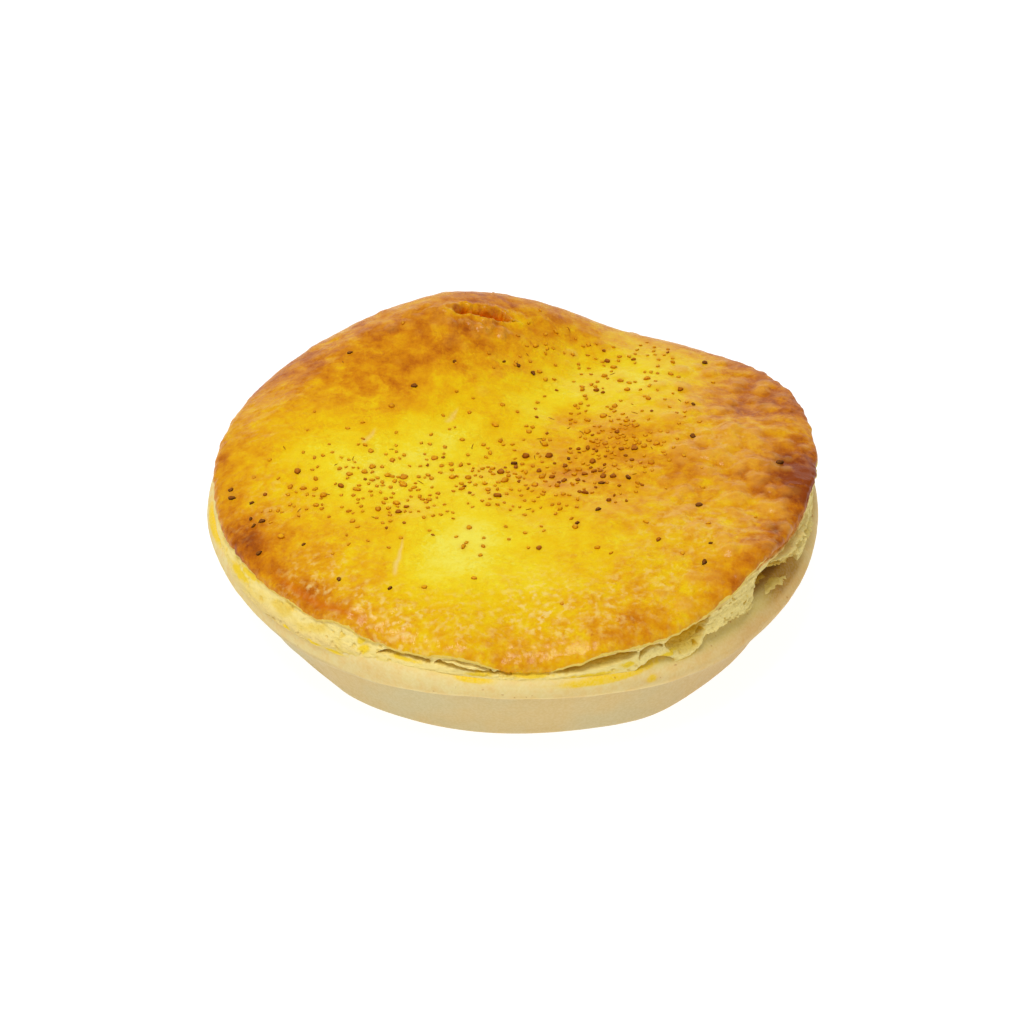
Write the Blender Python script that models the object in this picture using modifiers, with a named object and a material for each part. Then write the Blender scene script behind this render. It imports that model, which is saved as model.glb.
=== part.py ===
"""A small round curry pie, uncut: a pale shortcrust case with a stepped lip, and on it an
uneven, browned puff pastry lid with a torn edge, a torn vent and coarse seasoning."""

import math
import random

import bmesh
import bpy
from mathutils import Matrix, Vector, noise
from mathutils.bvhtree import BVHTree

MM = 0.001                        # the sizes below are in millimetres
TINY = 1e-4
SLIVER = 0.02                     # points of a finished solid closer than this are merged
SEGMENTS = 100                    # steps round the pie

# The whole: both pieces move by this, so that the pie's box is centred on the origin.
CENTRING = (-0.15, 0.45)

# The case. Its wall leans out from a foot that stands a little to the right of its lip.
FOOT_RADIUS = 49.6
FOOT_SHIFT = 0.8
FOOT_ROUND = 1.8
WALL_FOOT_RADIUS = 51.2
WALL_TOP_RADIUS = 55.5
WALL_TOP = 13.5
LIP_RADIUS = 59.6
LIP_UNDERSIDE = 14.6
CASE_TOP = 20.0
SHELF_RADIUS = 58.3               # where the flat top of the case ends
LIP_WAVES = ((1, 0.40, 0), (2, 0.45, -40), (3, 0.45, 42), (4, 0.30, 8))
LIP_SAGS = ((4, 1.4, 2),)         # waves of its lower edge
LIP_SAG_REACH = 2.0
RIM_DROOP = (320, 28, 3.0)        # the rim sinks here: middle angle, half angle, drop
DROOP_RADII = (55.5, 59.3)        # from where it starts to where it is whole
LIP_FACE = ((0.5, 0.6), (0.1, 1.7), (0.0, 3.3), (0.2, 4.7))    # (inset, drop) down its outer face
FOOT_BULGES = (                   # where the wall's foot stands in or out: (angle, half angle, size)
    (219, 10, -1.7),
    (298, 12, 1.4),
)
WALL_DENTS = 0.25
WALL_DENT_SPACING = 14.0

# The lid. Waves are (how many round the pie, size, angle of one crest in degrees).
JOIN_GAP = 0.3
LID_UNDERSIDE = CASE_TOP + JOIN_GAP
LID_RADIUS = 57.95
LID_WAVES = ((1, 0.79, 20), (2, 0.46, -6), (3, 0.73, 36), (4, 0.48, 11))
BROWN_EDGE = 23.95                # height at which the browned skin ends
BROWN_EDGE_WAVES = ((1, 1.64, 43), (2, 1.47, -10), (3, 1.15, 14), (4, 0.71, 19), (5, 1.12, 23))
EDGE_RISES = (                    # places where it jumps up or down: (angle, half angle, rise)
    (206, 6, 0.7),
    (229, 3, -0.7),
    (236, 4, 0.9),
    (260.5, 5.5, 1.8),
    (287, 7, 1.4),
    (326, 12, 4.2),
    (347, 11, 3.6),
)
EDGE_RISE_POWER = 6               # how close to the edge such a jump stays
CROWN = 6.0                       # how far the plain dome stands above its browned edge
SHOULDER = 3.4                    # a higher power holds the dome flat for longer
SHOULDER_ROUND = 2.2
UNDERCUT = 0.8                    # how far the torn side stands back just under the skin
UNDERCUT_SHARE = 0.25             # how far down the side that is
SIDE_STEP = 1.4                   # from the lip's outside to the foot of the torn side
BARE_SHELF = (329, 9, 2.4)        # middle angle, half angle and width of the shelf left bare
TOP_ROWS = 19
ROW_CROWDING = 0.8                # below 1 the rows crowd towards the edge
SIDE_ROWS = 6

# Hills and hollows of the lid: (x, y, radius, height).
SWELLS = (
    (-24, 39.5, 23.5, 10.6),      # the high hill at the back left
    (-6, 51, 15.5, 6.1),          # its crest
    (11.5, 50.5, 12, 5.6),        # its right end
    (-44.5, 30.5, 12.5, 2.6),     # the back left shoulder
    (-46, 8, 16, 2.1),            # the left shoulder
    (-38, -22, 20, 0.7),          # the front left
    (0, -38, 24, -0.8),           # the front slope
    (48, 22, 12, -3.4),           # the right shoulder
    (31, 46, 12, 3.5),            # the low rise at the back right
    (4, 4, 24, -1.4),             # the sunk middle
)
BUMPS = 0.45
BUMP_SPACING = 9.0
BUMPS_FADE = 0.8                  # share of the radius from which they fade out
SHARP_ANGLE = 40.0

# The vent: a torn hole near the hill's top, leaning along the crest.
VENT_PLACE = (-5.6, 39.2)
VENT_SIZE = (6.2, 1.8, 3.4)       # half length, half width, depth
VENT_TURN = 8
VENT_RAGGED = 0.09

# Hollows torn into the side: (middle angle, half angle, height above the shelf, half height, depth).
TEARS = (
    (231, 8, 1.2, 0.4, 1.0),
    (256, 11, 1.4, 0.6, 1.6),
    (286, 8, 1.9, 0.6, 1.8),
    (303, 5, 1.7, 1.1, 3.0),
    (328.5, 6, 1.8, 2.6, 5.5),
    (20, 16, 3.6, 0.7, 1.8),
    (75, 14, 1.2, 0.5, 1.6),
    (112, 16, 2.6, 0.6, 2.0),
    (160, 12, 1.8, 0.5, 1.6),
)

# Leaves of torn pastry: (first angle, last angle, height above the shelf, reach, droop).
LEAVES = (
    (219, 242, 1.3, 57.2, 0.4),
    (246, 268, 0.6, 58.3, 0.1),
    (279, 294, 0.7, 59.5, 0.2),
    (291, 304, 0.9, 59.0, 0.4),
    (304, 323, 0.8, 58.6, 0.2),
    (333, 350, 4.2, 59.2, 1.2),
    (6, 44, 2.6, 58.8, 0.4),
    (62, 94, 0.9, 58.2, 0.2),
    (98, 128, 1.9, 58.0, 0.3),
    (146, 174, 1.0, 58.4, 0.2),
)
LEAF_THICKNESS = 0.5
LEAF_ROOT_RADIUS = 53.0
LEAF_LEAST_RADIUS = 54.0          # its reach at its ends
LEAF_STEP_DEGREES = 2.4
LEAF_RAGGED = 0.7
LEAF_ROUNDING = 0.35              # below 1 a leaf's ends are blunt
LEAF_WARP = 0.3                   # how much of its raggedness also lifts it

# Seasoning: where it lies, as (x, y, half length, half width, turn, share of the grains).
GRAIN_PATCHES = (
    (-27, -12, 13, 9, 0, 0.24),
    (-5, -10, 12, 11, 0, 0.22),
    (10, -9, 6, 5, 50, 0.11),
    (13, -3, 10, 10, 0, 0.12),
    (21, 3, 6, 5, 0, 0.09),
    (19, 15, 9, 15, -20, 0.11),
    (14, 34, 10, 8, 0, 0.05),
    (-2, 0, 36, 26, 0, 0.06),
)
GRAIN_COUNT = 124
GRAIN_SIZES = (1.6, 1.05)         # the largest and the smallest, across
GRAIN_SPACING = 1.9
GRAIN_SPREAD = 0.75               # share of a patch's half size within which two in three lie
GRAIN_LIMIT_RADIUS = 51.0
GRAIN_SUNK = 0.12                 # share of a grain's size that its middle lies above the crust
GRAIN_FLATNESS = (0.55, 0.8)
GRAIN_ROUGHNESS = 0.18
GRAIN_SEED = 7
LEAF_SEED = 11


def clear_scene():
    for thing in list(bpy.data.objects):
        bpy.data.objects.remove(thing, do_unlink=True)


def new_collection(name):
    group = bpy.data.collections.new(name)
    bpy.context.scene.collection.children.link(group)
    return group


def new_material(name, color, roughness):
    """A plain pastry finish."""
    finish = bpy.data.materials.new(name)
    finish.use_nodes = True
    shader = finish.node_tree.nodes["Principled BSDF"]
    shader.inputs["Base Color"].default_value = (*color, 1.0)
    shader.inputs["Roughness"].default_value = roughness
    shader.inputs["Metallic"].default_value = 0.0
    finish.diffuse_color = (*color, 1.0)
    return finish


def new_object(name, mesh, group, finish):
    thing = bpy.data.objects.new(name, mesh)
    thing.data.materials.append(finish)
    group.objects.link(thing)
    return thing


def apply_modifiers(thing):
    """Make the object's evaluated mesh its own."""
    bpy.context.view_layer.update()
    seen = thing.evaluated_get(bpy.context.evaluated_depsgraph_get())
    shaped = bpy.data.meshes.new_from_object(seen)
    old = thing.data
    thing.modifiers.clear()
    thing.data = shaped
    shaped.name = thing.name
    bpy.data.meshes.remove(old)


def turned(name, profile, group, finish):
    """A solid of revolution: the (radius, height) profile runs down its outer side."""
    mesh = bpy.data.meshes.new(name)
    points = [(r * MM, 0.0, z * MM) for r, z in profile]
    mesh.from_pydata(points, [(i, i + 1) for i in range(len(points) - 1)], [])
    thing = new_object(name, mesh, group, finish)
    screw = thing.modifiers.new("Turn", "SCREW")
    screw.steps = SEGMENTS
    screw.render_steps = SEGMENTS
    screw.use_merge_vertices = True
    screw.merge_threshold = 0.00001
    screw.use_smooth_shade = True
    apply_modifiers(thing)
    return thing


def move_points(mesh, rule):
    """Send each vertex, in millimetres, through a rule that gives its new place."""
    for vertex in mesh.vertices:
        vertex.co = rule(vertex.co / MM) * MM


def waves(angle, terms):
    return sum(size * math.cos(count * (angle - math.radians(crest))) for count, size, crest in terms)


def bell(distance):
    return math.exp(-distance * distance)


def humps(angle, terms):
    """A sum of bells round the pie, each (middle angle, half angle, size)."""
    away = [(angle_between(math.degrees(angle), middle) / half, size) for middle, half, size in terms]
    return sum(size * bell(distance) for distance, size in away)


def blend(low, high, value):
    """0 below low, 1 above high, and smooth between them."""
    t = min(max((value - low) / (high - low), 0.0), 1.0)
    return t * t * (3.0 - 2.0 * t)


def angle_between(first, second):
    """Degrees from one direction to another, from -180 to 180."""
    return (first - second + 180.0) % 360.0 - 180.0


def on_ring(angle, radius, height):
    return Vector((radius * math.cos(angle), radius * math.sin(angle), height))


def rough(point, spacing):
    """Smooth noise from -1 to 1 whose features are about the spacing apart."""
    return noise.noise(point / spacing)


# The case

def case_profile():
    start, end = DROOP_RADII
    profile = [(radius, CASE_TOP) for radius in (0.0, start, (start + end) / 2.0, SHELF_RADIUS)]
    profile += [(LIP_RADIUS - inset, CASE_TOP - drop) for inset, drop in LIP_FACE]
    profile += [
        (LIP_RADIUS - 0.8, LIP_UNDERSIDE),
        (WALL_TOP_RADIUS + 1.0, LIP_UNDERSIDE - 0.4),
        (WALL_TOP_RADIUS, WALL_TOP),
        ((WALL_TOP_RADIUS + WALL_FOOT_RADIUS) / 2.0, (WALL_TOP + FOOT_ROUND) / 2.0),
        (WALL_FOOT_RADIUS, FOOT_ROUND),
        (FOOT_RADIUS + 1.0, FOOT_ROUND / 3.0),
        (FOOT_RADIUS, 0.0),
        (0.0, 0.0),
    ]
    return profile


def rim_drop(angle, radius):
    """How far the case's top sinks towards its rim."""
    middle, half_angle, drop = RIM_DROOP
    share = bell((angle_between(math.degrees(angle), middle) / half_angle) ** 2)
    return drop * share * blend(*DROOP_RADII, radius)


def shape_case(point):
    """Wave the lip, sink its rim, dent the wall and set the foot off centre."""
    radius = math.hypot(point.x, point.y)
    if radius < TINY:
        return point
    angle = math.atan2(point.y, point.x)
    lip_share = blend(0.0, LIP_UNDERSIDE, point.z)
    reach = radius + waves(angle, LIP_WAVES) * lip_share * radius / LIP_RADIUS
    outer = blend(FOOT_RADIUS - 1.0, WALL_FOOT_RADIUS, radius)
    reach += (1.0 - lip_share) * humps(angle, FOOT_BULGES) * outer
    reach += WALL_DENTS * rough(point, WALL_DENT_SPACING) * outer
    near_lip = bell((point.z - LIP_UNDERSIDE) / LIP_SAG_REACH) * outer
    height = point.z + waves(angle, LIP_SAGS) * near_lip
    height -= rim_drop(angle, radius) * blend(LIP_UNDERSIDE, CASE_TOP, point.z)
    return on_ring(angle, reach, height) + Vector((FOOT_SHIFT * (1.0 - lip_share), 0.0, 0.0))


def make_case(group):
    finish = new_material("shortcrust", (0.66, 0.49, 0.24), 0.62)
    case = turned("case", case_profile(), group, finish)
    move_points(case.data, shape_case)
    return case


# The lid

def lid_outline(angle):
    return LID_RADIUS + waves(angle, LID_WAVES)


def brown_edge(angle):
    return BROWN_EDGE + waves(angle, BROWN_EDGE_WAVES) + humps(angle, EDGE_RISES)


def lid_height(x, y):
    """Height of the lid's browned skin over a place on the pie."""
    angle = math.atan2(y, x)
    share = min(math.hypot(x, y) / lid_outline(angle), 1.0)
    crown = CROWN
    for middle_x, middle_y, radius, height in SWELLS:
        crown += height * bell(math.hypot(x - middle_x, y - middle_y) / radius)
    shoulder = (1.0 - share ** SHOULDER) ** (1.0 / SHOULDER_ROUND)
    bumps = BUMPS * rough(Vector((x, y, 0.0)), BUMP_SPACING) * blend(1.0, BUMPS_FADE, share)
    edge = BROWN_EDGE + waves(angle, BROWN_EDGE_WAVES) * share ** 2
    edge += humps(angle, EDGE_RISES) * share ** EDGE_RISE_POWER
    return edge + crown * shoulder + bumps


def lid_profile():
    """The plain lid: a low dome, a straight side and a flat underside."""
    shares = [(row / TOP_ROWS) ** ROW_CROWDING for row in range(TOP_ROWS + 1)]
    dome = [(LID_RADIUS * share, BROWN_EDGE + CROWN * (1.0 - share)) for share in shares]
    drop = (BROWN_EDGE - LID_UNDERSIDE) / SIDE_ROWS
    side = [(LID_RADIUS, BROWN_EDGE - drop * (row + 1)) for row in range(SIDE_ROWS)]
    return dome + side + [(0.0, LID_UNDERSIDE)]


def tear_depth(angle, height):
    """How far the side is torn back at a height above the shelf."""
    depth = 0.0
    for middle, half_angle, middle_height, half_height, deepest in TEARS:
        along = angle_between(math.degrees(angle), middle) / half_angle
        across = (height - middle_height) / half_height
        depth = max(depth, deepest * bell(along ** 2) * bell(across))
    return depth


def side_foot(angle):
    """Radius at which the torn side meets the case."""
    middle, half_angle, width = BARE_SHELF
    bare = width * bell((angle_between(math.degrees(angle), middle) / half_angle) ** 2)
    return LIP_RADIUS + waves(angle, LIP_WAVES) - SIDE_STEP - bare


def lid_side(angle, share):
    """A place on the torn side: share runs from 0 at the browned edge to 1 at the shelf."""
    height = brown_edge(angle) + (LID_UNDERSIDE - brown_edge(angle)) * share
    outer = lid_outline(angle)
    radius = outer + (side_foot(angle) - outer) * blend(0.0, 1.0, share)
    radius -= UNDERCUT * bell((share - UNDERCUT_SHARE) / UNDERCUT_SHARE)
    if share < 1.0 - TINY:
        radius -= tear_depth(angle, height - LID_UNDERSIDE)
    return on_ring(angle, radius, height)


def shape_lid(point):
    """Send a point of the plain turned lid to its place on the real one."""
    radius = math.hypot(point.x, point.y)
    angle = math.atan2(point.y, point.x)
    if point.z > BROWN_EDGE - TINY:
        reach = radius / LID_RADIUS * lid_outline(angle)
        place = on_ring(angle, reach, 0.0)
        place.z = lid_height(place.x, place.y)
        return place
    if radius < TINY:
        return point
    share = (BROWN_EDGE - point.z) / (BROWN_EDGE - LID_UNDERSIDE)
    return lid_side(angle, share)


def torn_leaf(leaf, draw, group, finish):
    """A thin ring sector of pastry with a ragged outer edge, rooted inside the lid."""
    first, last, height, reach, droop = leaf
    span = angle_between(last, first)
    steps = round(span / LEAF_STEP_DEGREES)
    rags = [draw.uniform(-LEAF_RAGGED, LEAF_RAGGED) for _ in range(steps + 1)]
    maker = bmesh.new()
    bmesh.ops.create_grid(maker, x_segments=steps, y_segments=2, size=1.0)
    for vertex in maker.verts:
        along = (vertex.co.x + 1.0) / 2.0
        outward = (vertex.co.y + 1.0) / 2.0
        column = round(along * steps)
        width = math.sin(math.pi * along)
        tip = LEAF_LEAST_RADIUS + (reach - LEAF_LEAST_RADIUS) * width ** LEAF_ROUNDING
        edge = tip + rags[column] * width
        radius = LEAF_ROOT_RADIUS + (edge - LEAF_ROOT_RADIUS) * outward
        lift = height + LEAF_WARP * rags[column] * outward - droop * outward ** 3
        place = on_ring(math.radians(first + span * along), radius, LID_UNDERSIDE + lift)
        vertex.co = place * MM
    mesh = bpy.data.meshes.new("leaf")
    maker.to_mesh(mesh)
    maker.free()
    thing = new_object("leaf", mesh, group, finish)
    thickness = thing.modifiers.new("Thickness", "SOLIDIFY")
    thickness.thickness = LEAF_THICKNESS * MM
    thickness.offset = 0.0
    apply_modifiers(thing)


def pick_place(draw):
    """A random place on the lid, close to the middle of one of the seasoning's patches."""
    shares = [patch[-1] for patch in GRAIN_PATCHES]
    x, y, half_length, half_width, turn, _ = draw.choices(GRAIN_PATCHES, shares)[0]
    along, across = draw.gauss(0.0, GRAIN_SPREAD), draw.gauss(0.0, GRAIN_SPREAD)
    spread = Vector((along * half_length, across * half_width))
    spread.rotate(Matrix.Rotation(math.radians(turn), 2))
    return Vector((x, y)) + spread


def scatter_grains(draw):
    """Places and sizes of the grains, largest first, none on another or over the edge."""
    grains = []
    largest, smallest = GRAIN_SIZES
    while len(grains) < GRAIN_COUNT:
        place = pick_place(draw)
        size = largest + (smallest - largest) * (len(grains) / GRAIN_COUNT) ** 0.5
        crowded = any((place - other).length < GRAIN_SPACING for other, _ in grains)
        in_vent = (place - Vector(VENT_PLACE)).length < VENT_SIZE[0] + size
        if place.length < GRAIN_LIMIT_RADIUS and not crowded and not in_vent:
            grains.append((place, size))
    return grains


def land(place, crust):
    """Where a grain dropped at a place meets the lid, and the slope's normal there."""
    above = Vector((place.x, place.y, 2.0 * CASE_TOP + LID_RADIUS)) * MM
    spot, up, _, _ = crust.ray_cast(above, Vector((0.0, 0.0, -1.0)))
    return spot / MM, up


def make_grain(place, size, crust, draw, group, finish):
    """One rough grain of seasoning, lying on the slope and half sunk in the glaze."""
    maker = bmesh.new()
    bmesh.ops.create_icosphere(maker, subdivisions=1, radius=size / 2.0)
    flatness = draw.uniform(*GRAIN_FLATNESS)
    for vertex in maker.verts:
        vertex.co *= 1.0 + draw.uniform(-GRAIN_ROUGHNESS, GRAIN_ROUGHNESS)
        vertex.co.z *= flatness
    spot, up = land(place, crust)
    turn = Matrix.Rotation(draw.uniform(0.0, math.tau), 3, "Z")
    lean = Vector((0.0, 0.0, 1.0)).rotation_difference(up).to_matrix()
    middle = spot + up * size * GRAIN_SUNK
    for vertex in maker.verts:
        vertex.co = (lean @ turn @ vertex.co + middle) * MM
    mesh = bpy.data.meshes.new("grain")
    maker.to_mesh(mesh)
    maker.free()
    new_object("grain", mesh, group, finish)


def make_vent_cutter(group, finish):
    """A rough lens that cuts the torn vent into the hill."""
    draw = random.Random(GRAIN_SEED)
    half_length, half_width, depth = VENT_SIZE
    maker = bmesh.new()
    bmesh.ops.create_icosphere(maker, subdivisions=2, radius=1.0)
    turn = Matrix.Rotation(math.radians(VENT_TURN), 3, "Z")
    middle = Vector((*VENT_PLACE, lid_height(*VENT_PLACE)))
    for vertex in maker.verts:
        shape = Vector((vertex.co.x * half_length, vertex.co.y * half_width, vertex.co.z * depth))
        shape *= 1.0 + draw.uniform(-VENT_RAGGED, VENT_RAGGED)
        vertex.co = (turn @ shape + middle) * MM
    mesh = bpy.data.meshes.new("vent_cutter")
    maker.to_mesh(mesh)
    maker.free()
    cutter = new_object("vent_cutter", mesh, group, finish)
    cutter.hide_render = True
    cutter.display_type = "WIRE"
    return cutter


def bodies_of(maker):
    """The faces of each body, joined over shared edges, the smallest body first."""
    left = set(maker.faces)
    bodies = []
    while left:
        body = {left.pop()}
        front = list(body)
        while front:
            edges = front.pop().edges
            near = {face for edge in edges for face in edge.link_faces} - body
            body |= near
            front += near
        left -= body
        bodies.append(body)
    return sorted(bodies, key=len)


def clean(mesh):
    """Close up slivers that a union leaves, and keep the largest body alone."""
    maker = bmesh.new()
    maker.from_mesh(mesh)
    bmesh.ops.remove_doubles(maker, verts=maker.verts[:], dist=SLIVER * MM)
    midway = [vertex for vertex in maker.verts if len(vertex.link_edges) == 2]
    bmesh.ops.dissolve_verts(maker, verts=midway)
    bmesh.ops.triangulate(maker, faces=maker.faces[:])
    scraps = [face for body in bodies_of(maker)[:-1] for face in body]
    bmesh.ops.delete(maker, geom=scraps, context="FACES")
    maker.to_mesh(mesh)
    maker.free()


def make_lid(group, cutters):
    crust = new_material("baked_puff_pastry", (0.72, 0.42, 0.05), 0.42)
    seasoning = new_material("seasoning", (0.30, 0.13, 0.02), 0.5)
    lid = turned("lid", lid_profile(), group, crust)
    move_points(lid.data, shape_lid)

    vent = lid.modifiers.new("Vent", "BOOLEAN")
    vent.operation = "DIFFERENCE"
    vent.solver = "EXACT"
    vent.object = make_vent_cutter(cutters, crust)
    apply_modifiers(lid)

    crust_tree = BVHTree.FromObject(lid, bpy.context.evaluated_depsgraph_get())
    extras = new_collection("lid extras")
    draw = random.Random(LEAF_SEED)
    for leaf in LEAVES:
        torn_leaf(leaf, draw, extras, crust)
    draw = random.Random(GRAIN_SEED)
    for place, size in scatter_grains(draw):
        make_grain(place, size, crust_tree, draw, extras, seasoning)
    join = lid.modifiers.new("Join", "BOOLEAN")
    join.operation = "UNION"
    join.solver = "MANIFOLD"
    join.operand_type = "COLLECTION"
    join.collection = extras
    apply_modifiers(lid)
    for thing in list(extras.objects):
        bpy.data.objects.remove(thing, do_unlink=True)
    bpy.data.collections.remove(extras)
    clean(lid.data)
    return lid


def build_pie():
    clear_scene()
    group = new_collection("curry_pie")
    cutters = new_collection("cutters")
    pieces = [make_case(group), make_lid(group, cutters)]
    shift = Vector((*CENTRING, 0.0))
    for piece in pieces:
        move_points(piece.data, lambda point: point + shift)
        piece.data.shade_smooth()
        piece.data.set_sharp_from_angle(angle=math.radians(SHARP_ANGLE))


build_pie()
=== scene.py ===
"""The looks of a small round curry pie: a pale shortcrust case, and on it a browned, uneven
puff pastry lid with a torn flaky side, a torn vent and a glazed sprinkling of seasoning."""

import math
import random

import bmesh
import bpy
import numpy as np
from mathutils import Matrix, Vector, noise
from mathutils.bvhtree import BVHTree


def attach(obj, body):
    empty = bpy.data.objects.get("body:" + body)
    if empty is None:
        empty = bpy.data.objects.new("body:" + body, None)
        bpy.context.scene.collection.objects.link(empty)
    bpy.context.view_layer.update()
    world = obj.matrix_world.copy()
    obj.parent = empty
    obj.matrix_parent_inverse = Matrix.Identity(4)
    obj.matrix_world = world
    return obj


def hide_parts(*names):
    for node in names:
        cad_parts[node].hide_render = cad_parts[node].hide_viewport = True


MM = 0.001  # the sizes below are in millimetres
CENTRING = (-0.15, 0.45)  # every piece moves by this, as the pie's solids do

# The case, as the solid has it.
FOOT_RADIUS = 49.6
FOOT_SHIFT = 0.8
FOOT_ROUND = 1.8
WALL_FOOT_RADIUS = 51.2
WALL_TOP_RADIUS = 55.5
WALL_TOP = 13.5
LIP_RADIUS = 59.6
LIP_UNDERSIDE = 14.6
CASE_TOP = 20.0
SHELF_RADIUS = 58.3
LIP_WAVES = ((1, 0.40, 0), (2, 0.45, -40), (3, 0.45, 42), (4, 0.30, 8))
LIP_SAGS = ((4, 1.4, 2),)
LIP_SAG_REACH = 2.0
RIM_DROOP = (320, 28, 3.0)  # the rim sinks here: middle angle, half angle, drop
DROOP_RADII = (55.5, 59.3)  # from where it starts to where it is whole
FOOT_BULGES = ((219, 10, -1.7), (298, 12, 1.4))  # the wall's foot: (angle, half angle, size)
WALL_DENTS = 0.25
WALL_DENT_SPACING = 14.0

# The lid, as the solid has it. Waves are (how many round the pie, size, angle of one crest).
LID_UNDERSIDE = 20.3
LID_RADIUS = 57.95
LID_WAVES = ((1, 0.79, 20), (2, 0.46, -6), (3, 0.73, 36), (4, 0.48, 11))
BROWN_EDGE = 23.95  # height at which the browned skin ends
BROWN_EDGE_WAVES = ((1, 1.64, 43), (2, 1.47, -10), (3, 1.15, 14), (4, 0.71, 19), (5, 1.12, 23))
EDGE_RISES = (  # where it jumps up or down: (angle, half angle, rise)
    (206, 6, 0.7), (229, 3, -0.7), (236, 4, 0.9), (260.5, 5.5, 1.8), (287, 7, 1.4), (326, 12, 4.2),
    (347, 11, 3.6),
)
EDGE_RISE_POWER = 6
CROWN = 6.0
SHOULDER = 3.4
SHOULDER_ROUND = 2.2
UNDERCUT = 0.8
SIDE_STEP = 1.4
BARE_SHELF = (329, 9, 2.4)

# Hills and hollows of the lid: (x, y, radius, height).
SWELLS = (
    (-24, 39.5, 23.5, 10.6), (-6, 51, 15.5, 6.1), (11.5, 50.5, 12, 5.6), (-44.5, 30.5, 12.5, 2.6),
    (-46, 8, 16, 2.1), (-38, -22, 20, 0.7), (0, -38, 24, -0.8), (48, 22, 12, -3.4), (31, 46, 12, 3.5),
    (4, 4, 24, -1.4),
)
BUMPS = 0.45
BUMP_SPACING = 9.0

# The vent in the hill: half length, half width and depth.
VENT_PLACE = (-5.6, 39.2)
VENT_SIZE = (6.2, 1.8, 3.4)
VENT_TURN = 8

# Hollows torn into the sides and back: (middle angle, half angle, height above the shelf, half
# height, depth).
TEARS = (
    (20, 16, 3.6, 0.7, 1.8), (75, 14, 1.2, 0.5, 1.6), (112, 16, 2.6, 0.6, 2), (160, 12, 1.8, 0.5, 1.6),
)

# The front's hollows: keys of (angle, upper edge, foot), heights above the shelf, then how deep
# it is and how ragged its upper edge is.
HOLLOWS = (
    # under the fringe, left of the middle
    (((244.5, 0.5, 0.3), (246, 1.2, 0.4), (248, 1.9, 0.7), (250.5, 2, 0.9), (252.5, 1.5, 0.8),
      (255, 1.1, 0.8)), 2.2, 0.1),
    (((255.8, 1.2, 1), (256.8, 1.9, 0.8), (258.5, 2.1, 0.8), (260.6, 2.2, 0.9), (263.5, 1.7, 0.6),
      (265, 1.6, 0.6), (266.5, 1.1, 0.4), (270, 0.7, 0.4)), 2.2, 0.26),
    # under the fringe, right of the middle
    (((277.5, 0.9, 0.6), (279.5, 1.5, 0.4), (282, 2, 0.5), (284.2, 2.4, 0.6), (287, 2.8, 0.8),
      (290, 2.9, 1.1), (292, 2.4, 1.3), (293, 2.1, 1.8)), 2.4, 0.16),
    # over and under the arched flap
    (((293.2, 1, 0.3), (293.7, 2, 0.8), (295.3, 2.8, 1.7), (297, 2.7, 1.9), (298.3, 1.7, 1.3)), 2, 0.1),
    (((292.3, -1.3, -2), (293.4, -0.7, -2.2), (295, -0.1, -2.4), (296.8, 0.2, -2.6), (298.6, -0.4, -2.6),
      (300.3, -1.6, -2.4)), 4, 0.08),
    # the long sloping one
    (((298.8, 2, 1.2), (300, 2.8, -0.6), (302, 3.1, -1.6), (305, 3.3, -1.6), (307, 3.5, 0.4),
      (308.8, 3.6, 3)), 2, 0.1),
    # under the thick curtain
    (((304, -2.3, -3.4), (305.5, -1.6, -4.5), (307, -0.3, -4.5), (308, 0.3, -4.5), (310, -0.2, -4.5),
      (311, 0.3, -4.5), (313.5, 0.8, -4.5), (315, 0.8, -4.5), (317, 0, -4.5), (320, -1, -4.5),
      (322, -0.8, -4.5), (323, 0.2, -4.5)), 6, 0.45),
    # the deep one at the right
    (((322.7, 0, -4.5), (323, 3.3, -4.5), (323.6, 4.5, -4.5), (325, 4.6, -4.5), (326, 4.1, -4.5),
      (327.5, 4.4, -4.5), (329.5, 4.3, -4.5), (331, 4, -4.5), (333, 3.4, -4.2), (335, 2.5, -3.8),
      (337.5, 1.2, -3.4), (339.5, -0.4, -3.2)), 7.5, 0.45),
    # in the far right's fibres
    (((336, 2.9, 1.9), (339, 2.6, 0.8), (343, 1.8, 0.4), (348, 1.2, 0.6)), 1.6, 0.25),
)

# Seasoning: where it lies, as (x, y, half length, half width, turn, share of the grains).
GRAIN_PATCHES = (
    (-27, -12, 13, 9, 0, 0.24), (-5, -10, 12, 11, 0, 0.22), (10, -9, 6, 5, 50, 0.11),
    (13, -3, 10, 10, 0, 0.12), (21, 3, 6, 5, 0, 0.09), (19, 15, 9, 15, -20, 0.11),
    (14, 34, 10, 8, 0, 0.05), (-2, 0, 36, 26, 0, 0.06),
)
SMALL_PATCHES = (
    (-27, -12, 15, 9, 0, 0.22), (-5, -10, 13, 12, 0, 0.18), (12, -6, 11, 9, 30, 0.18),
    (21, 5, 8, 8, 0, 0.1), (19, 16, 11, 14, -20, 0.16), (14, 34, 13, 7, 0, 0.08),
    (-2, 0, 38, 26, 0, 0.08),
)
LARGE_GRAINS = 124  # the solid has these
LARGE_SIZES = (1.6, 1.05)
LARGE_SPACING = 1.9
SMALL_GRAINS = 460  # too fine for the solid
SMALL_SIZES = (1.05, 0.65)
SMALL_SPACING = 0.95
GRAIN_LIMIT_RADIUS = 51.0
GRAIN_SEED = 7

# The finer surface, which the solids leave out.
SKIN_CELLS = 272  # cells across the skin, each way
SKIN_DISC_SHARE = 0.955  # the cells reach this share of the way to the edge
RIM_ROWS = 10
SIDE_ROWS = 56
SIDE_COLUMNS = ((186.0, 352.0, 0.15), (352.0, 546.0, 0.4))  # from angle, to angle, step
CASE_STEPS = 900
NOISE_RING = 58.0  # noise that follows the edge is taken on this radius


# Forms

def waves(angle, terms):
    return sum(size * np.cos(count * (angle - math.radians(crest))) for count, size, crest in terms)


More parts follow.
